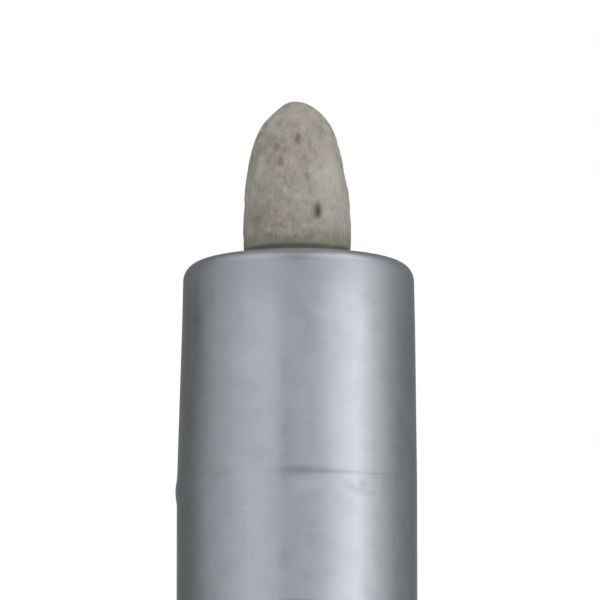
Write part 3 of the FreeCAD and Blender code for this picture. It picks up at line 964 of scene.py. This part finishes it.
def makeTailPlug(shape):
    outer = tailHigh.x
    bore = outer - barrelShape["wall"]
    foot = tailLow.z
    spigot, wall = shape["spigot"], shape["spigotWall"]
    groove = bore - shape["grooveDepth"]
    hollow = bore - shape["plugWall"]
    low = shape["grooveHeight"] - shape["grooveHalf"]
    high = shape["grooveHeight"] + shape["grooveHalf"]
    corners = [
        (1.0 * mm, foot + 0.15 * mm, 0.05 * mm),
        (1.2 * mm, foot, 0.05 * mm),
        (spigot, foot, shape["spigotEdge"]),
        (spigot, foot + 9.4 * mm, 0),
        (spigot, shape["flangeFoot"], 0.12 * mm),
        (outer, shape["flangeFoot"], shape["flangeEdge"]),
        (outer, barrelFoot, 0.08 * mm),
        (bore, barrelFoot, 0),
        (bore, low, 0.04 * mm),
        (groove, low, 0.08 * mm),
        (groove, high, 0.08 * mm),
        (bore, high, 0.04 * mm),
        (bore, tailHigh.z, 0.5 * mm),
        (hollow, tailHigh.z, 0.15 * mm),
        (hollow, barrelFoot + wall, 0),
        (spigot - wall, barrelFoot + wall, 0.2 * mm),
        (spigot - wall, foot + wall, 0.3 * mm),
        (1.0 * mm, foot + wall, 0),
    ]
    return turnPiece("tailPlug", roundCorners(corners, 5), shape["around"], closed=False)


tailPlug = makeTailPlug(tailShape)
finishPiece(tailPlug, "barrel", "tail_plug", plugPlastic)
print("tail plug made")


capShape = {
    "around": 192,
    "wall": 0.5 * mm,
    "rimEdge": 0.16 * mm,
    "footEdge": 0.08 * mm,
    "linerBore": 5.70 * mm,
    "linerWall": 0.8 * mm,
    "linerFloor": 1.0 * mm,
    "linerFlange": 3.4 * mm,
    "ribBelow": 3.0 * mm,
    "ribHalf": 0.4 * mm,
    "ribReach": 5.58 * mm,
    "endEdge": 0.9 * mm,
    "endWall": 1.3 * mm,
    "gateRadius": 0.9 * mm,
    "gateDepth": 0.25 * mm,
}


def makeCapShell(shape):
    outer = shellHigh.x
    inner = outer - shape["wall"]
    corners = [
        (inner, shellLow.z, 0.04 * mm),
        (outer, shellLow.z, shape["footEdge"]),
        (outer, shellLow.z + 0.8 * mm, 0),
        (outer, capRim - 0.8 * mm, 0),
        (outer, capRim, shape["rimEdge"]),
        (inner, capRim, shape["rimEdge"]),
    ]
    return turnPiece("capShell", roundCorners(corners, 8), shape["around"])


def makeCapLiner(shape):
    bore = shape["linerBore"]
    outer = bore + shape["linerWall"]
    flange = linerHigh.x
    top = linerHigh.z
    under = top - shape["linerFlange"] + 0.8 * mm
    rib = top - shape["ribBelow"]
    floorTop = linerLow.z + shape["linerFloor"]
    corners = [
        (0.6 * mm, linerLow.z, 0),
        (outer - 0.5 * mm, linerLow.z, 0),
        (outer, linerLow.z, 0.4 * mm),
        (outer, under - 0.4 * mm, 0),
        (flange, under, 0),
        (flange, top, 0.2 * mm),
        (bore, top, 0.27 * mm),
        (bore, rib, 0.1 * mm),
        (shape["ribReach"], rib - shape["ribHalf"], 0.12 * mm),
        (bore, rib - 2 * shape["ribHalf"], 0.1 * mm),
        (bore, floorTop, 0.4 * mm),
        (0.6 * mm, floorTop, 0),
    ]
    return turnPiece("capLiner", roundCorners(corners, 6), 144, closed=False)


def makeEndPlug(shape):
    outer = endHigh.y
    bore = outer - shape["wall"]
    ledge = shellLow.z
    corners = [
        (0.2 * mm, endLow.z + shape["gateDepth"], 0),
        (shape["gateRadius"], endLow.z + shape["gateDepth"], 0.1 * mm),
        (shape["gateRadius"], endLow.z, 0.08 * mm),
        (outer - shape["endEdge"] - 0.2 * mm, endLow.z, 0),
        (outer, endLow.z, shape["endEdge"]),
        (outer, ledge, 0.05 * mm),
        (bore, ledge, 0),
        (bore, endHigh.z, 0.3 * mm),
        (bore - shape["endWall"], endHigh.z, 0.1 * mm),
        (bore - shape["endWall"], ledge, 0.2 * mm),
        (0.2 * mm, ledge, 0),
    ]
    return turnPiece("capEndPlug", roundCorners(corners, 8), shape["around"], closed=False)


clipShape = {
    "width": 4.2 * mm,
    "thickness": 0.6 * mm,
    "bend": 1.4 * mm,             # radius of the bend's middle line
    "bendSteps": 10,
    "leg": 9.4 * mm,              # from the axis to the leg's middle line
    "legTop": 26.4 * mm,
    "kink": (8.28 * mm, 29.4 * mm),
    "tip": (9.27 * mm, 32.35 * mm),
    "corner": 1.2 * mm,
    "edge": 0.10 * mm,
}


def makeClip(shape):
    # The middle line of the strip, from the tab in the end plug round the bend and up to the tip
    level = clipLow.z + shape["thickness"] / 2
    corners = [(clipLow.x, level, 0), (shape["leg"], level, shape["bend"]),
               (shape["leg"], shape["legTop"], 4.5 * mm), (*shape["kink"], 1.5 * mm), (*shape["tip"], 0)]
    line = roundCorners(corners, shape["bendSteps"])
    half = shape["width"] / 2
    deselectAll()
    bpy.ops.mesh.primitive_plane_add(size=shape["width"], location=(line[0].x, 0, line[0].y))
    clip = namePiece("capClip")
    openEdit()
    bpy.ops.transform.resize(value=(0, 1, 1), center_override=(line[0].x, 0, line[0].y))
    bpy.ops.mesh.remove_doubles(threshold=0.001 * mm)
    bpy.ops.mesh.select_mode(type="EDGE")
    bpy.ops.mesh.select_all(action="SELECT")
    last = line[0]
    for point in line[1:]:
        step = (point.x - last.x, 0, point.y - last.y)
        bpy.ops.mesh.extrude_edges_move(TRANSFORM_OT_translate={"value": step})
        last = point
    bpy.ops.mesh.select_mode(type="VERT")
    bpy.ops.mesh.bevel(offset=shape["corner"], segments=8, affect="VERTICES")
    closeEdit()
    thicken = clip.modifiers.new("thickness", "SOLIDIFY")
    thicken.thickness = shape["thickness"]
    thicken.offset = 0
    thicken.use_even_offset = True
    soften = clip.modifiers.new("edges", "BEVEL")
    soften.width = shape["edge"]
    soften.segments = 3
    soften.limit_method = "ANGLE"
    soften.angle_limit = math.radians(50)
    applyModifiers(clip)
    smoothPiece(clip)
    return clip


capShell = makeCapShell(capShape)
finishPiece(capShell, "cap", "cap_shell", capMetal)
capLiner = makeCapLiner(capShape)
finishPiece(capLiner, "cap", "cap_liner", linerPlastic)
endPlug = makeEndPlug(capShape)
finishPiece(endPlug, "cap", "cap_end_plug", plugPlastic)
clip = makeClip(clipShape)
finishPiece(clip, "cap", "cap_clip", clipSteel)
print("cap and clip made")


springShape = {
    "wire": 0.2 * mm,
    "radius": 1.6 * mm,
    "turns": 6,
    "stepsPerTurn": 32,
    "travel": 1.5 * mm,
}


def makeSpring(shape):
    length = springHigh.z - springLow.z - 2 * shape["wire"]
    deselectAll()
    bpy.ops.mesh.primitive_circle_add(vertices=16, radius=shape["wire"], rotation=(math.pi / 2, 0, 0),
                                      location=(shape["radius"], 0, springLow.z + shape["wire"]))
    spring = namePiece("valveSpring", turned=True)
    coil = spring.modifiers.new("coil", "SCREW")
    coil.axis = "Z"
    coil.angle = math.tau
    coil.iterations = shape["turns"]
    coil.screw_offset = length / shape["turns"]
    coil.steps = shape["stepsPerTurn"]
    coil.render_steps = shape["stepsPerTurn"]
    applyModifiers(spring)
    openEdit()
    bpy.ops.mesh.remove_doubles(threshold=0.001 * mm)
    bpy.ops.mesh.select_all(action="DESELECT")
    bpy.ops.mesh.select_mode(type="EDGE")
    bpy.ops.mesh.select_non_manifold()
    bpy.ops.mesh.edge_face_add()
    closeEdit()
    smoothPiece(spring, 60)
    return spring


spring = makeSpring(springShape)
finishPiece(spring, "barrel", "valve_spring", springSteel)
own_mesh(spring)
print("valve spring made")

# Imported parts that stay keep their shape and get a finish
finishes = {
    "nib_guide": guidePlastic,
    "nose_insert": insertPlastic,
    "neck_seal_ring": sealRubber,
    "valve_housing": valvePlastic,
    "valve_seat": sealRubber,
    "valve_plunger": valvePlastic,
    "valve_cage": valvePlastic,
    "tail_seal_ring": sealRubber,
    "clip_rivet": clipSteel,
}
for name, material in finishes.items():
    paint(nodes[name], material)

stageSet = {
    "floorRadius": 0.60,
    "floorFade": (0.20, 0.58),
    "floorGlow": 0.42,
    "world": 0.136,
    "backdrop": 1.0,
    "aimHeight": 0.147,
    "lampDistance": 1.0,
    "lowElevation": 10,
    "lowSize": (0.21, 0.88),
    "highElevation": 54,
    "highSize": (0.40, 0.60),
    "topSize": (1.0, 1.0),
    "topPower": 0.307,
    "keyTint": (1.0, 0.985, 0.955),   # a little warmer where the bright band comes from
}


def makeFloor(stage):
    deselectAll()
    bpy.ops.mesh.primitive_circle_add(vertices=96, radius=stage["floorRadius"], fill_type="NGON")
    floor = bpy.context.object
    floor.name = "paleFloor"
    paper, tree, shader = newMaterial("paleFloorPaper", (0.86, 0.86, 0.85), 0.75, Specular_IOR_Level=0.2)
    coords = addNode(tree, "TexCoord")
    length = vectorMath("LENGTH", coords.outputs["Object"])["Value"]
    start, end = stage["floorFade"]
    link(rangeMap(length, end, start), shader.inputs["Alpha"])
    # Seen straight on the floor is as pale as the backdrop, though the lamps on it are dim
    path = addNode(tree, "LightPath")
    link(times(path.outputs["Is Camera Ray"], stage["floorGlow"]),
         shader.inputs["Emission Strength"])
    shader.inputs["Emission Color"].default_value = (1, 1, 1, 1)
    speckle = addNode(tree, "TexNoise", Scale=900.0, Detail=3.0)
    link(coords.outputs["Object"], speckle.inputs["Vector"])
    link(ramp(speckle.outputs["Fac"], [(0.3, (0.84, 0.84, 0.83)), (0.7, (0.88, 0.88, 0.87))]),
         shader.inputs["Base Color"])
    floor.data.materials.append(paper)


def makeWorld(stage):
    world = bpy.data.worlds.new("studio")
    bpy.context.scene.world = world
    world.use_nodes = True
    tree = world.node_tree
    tree.nodes.clear()
    path = addNode(tree, "LightPath")
    white = addNode(tree, "Background", Color=(1, 1, 1, 1), Strength=stage["backdrop"])
    soft = addNode(tree, "Background", Color=(0.96, 1.0, 0.94, 1), Strength=stage["world"])
    mix = addNode(tree, "MixShader")
    out = addNode(tree, "OutputWorld")
    link(path.outputs["Is Camera Ray"], mix.inputs[0])
    link(soft.outputs[0], mix.inputs[1])
    link(white.outputs[0], mix.inputs[2])
    link(mix.outputs[0], out.inputs[0])


def addLooking(name, data, target, azimuth, elevation, distance):
    # A lamp or camera turned to the target. azimuth 0 is in front of the marker, 90 is to its right.
    a, e = math.radians(azimuth), math.radians(elevation)
    away = Vector((math.sin(a) * math.cos(e), -math.cos(a) * math.cos(e), math.sin(e)))
    added = bpy.data.objects.new(name, data)
    bpy.context.scene.collection.objects.link(added)
    added.location = target + away * distance
    added.rotation_mode = "QUATERNION"
    added.rotation_quaternion = away.to_track_quat("Z", "Y")
    return added


def addSoftbox(name, azimuth, elevation, size, power, colour=(1, 1, 1)):
    data = bpy.data.lights.new(name, "AREA")
    data.shape = "RECTANGLE"
    data.size, data.size_y = size
    data.energy = power
    data.color = colour
    aim = Vector((0, 0, stageSet["aimHeight"]))
    addLooking(name, data, aim, azimuth, elevation, stageSet["lampDistance"])


makeFloor(stageSet)
makeWorld(stageSet)
# A tent of soft boxes. Each is azimuth and power, the low ring first.
lowRing = [(-108, 0.048), (-96, 0.107), (-84, 0.142), (-72, 0.179), (-60, 0.222), (-48, 0.275),
           (-36, 0.276), (-24, 0.284), (-12, 0.159), (0, 0.201), (12, 0.200), (24, 0.252), (36, 0.399),
           (48, 0.451), (60, 0.600), (72, 0.386), (84, 0.261), (96, 0.158), (108, 0.083), (120, 0.050),
           (132, 0.036), (144, 0.023), (162, 0.05), (180, 0.17), (-162, 0.04)]
highRing = [(-80, 0.474), (-40, 0.483), (0, 0.03), (40, 0.615), (80, 0.911), (120, 0.15), (180, 0.15),
            (-120, 0.15)]
for azimuth, power in lowRing:
    addSoftbox("lowBox", azimuth, stageSet["lowElevation"], stageSet["lowSize"], power,
               stageSet["keyTint"] if 30 < azimuth < 90 else (1, 1, 1))
for azimuth, power in highRing:
    addSoftbox("highBox", azimuth, stageSet["highElevation"], stageSet["highSize"], power)
addSoftbox("topBox", 0, 89.9, stageSet["topSize"], stageSet["topPower"])

cameraSet = {
    "elevation": -9.5,
    "distance": 0.45,
    "sensor": 36.0,
    "frameWidth": 27.8 * mm,      # what the frame takes in at the marker's axis
    "asideOfAxis": 0.14 * mm,
    "belowFace": 1.72 * mm,
}
cameraData = bpy.data.cameras.new("studioCamera")
cameraData.sensor_width = cameraSet["sensor"]
cameraData.lens = cameraSet["sensor"] * cameraSet["distance"] / cameraSet["frameWidth"]
cameraData.clip_start = 0.01
cameraData.clip_end = 20
target = Vector((cameraSet["asideOfAxis"], 0, noseHigh.z - cameraSet["belowFace"]))
bpy.context.scene.camera = addLooking("studioCamera", cameraData, target, 0, cameraSet["elevation"],
                                      cameraSet["distance"])
bpy.context.scene.view_settings.view_transform = "Standard"
print("stage set")
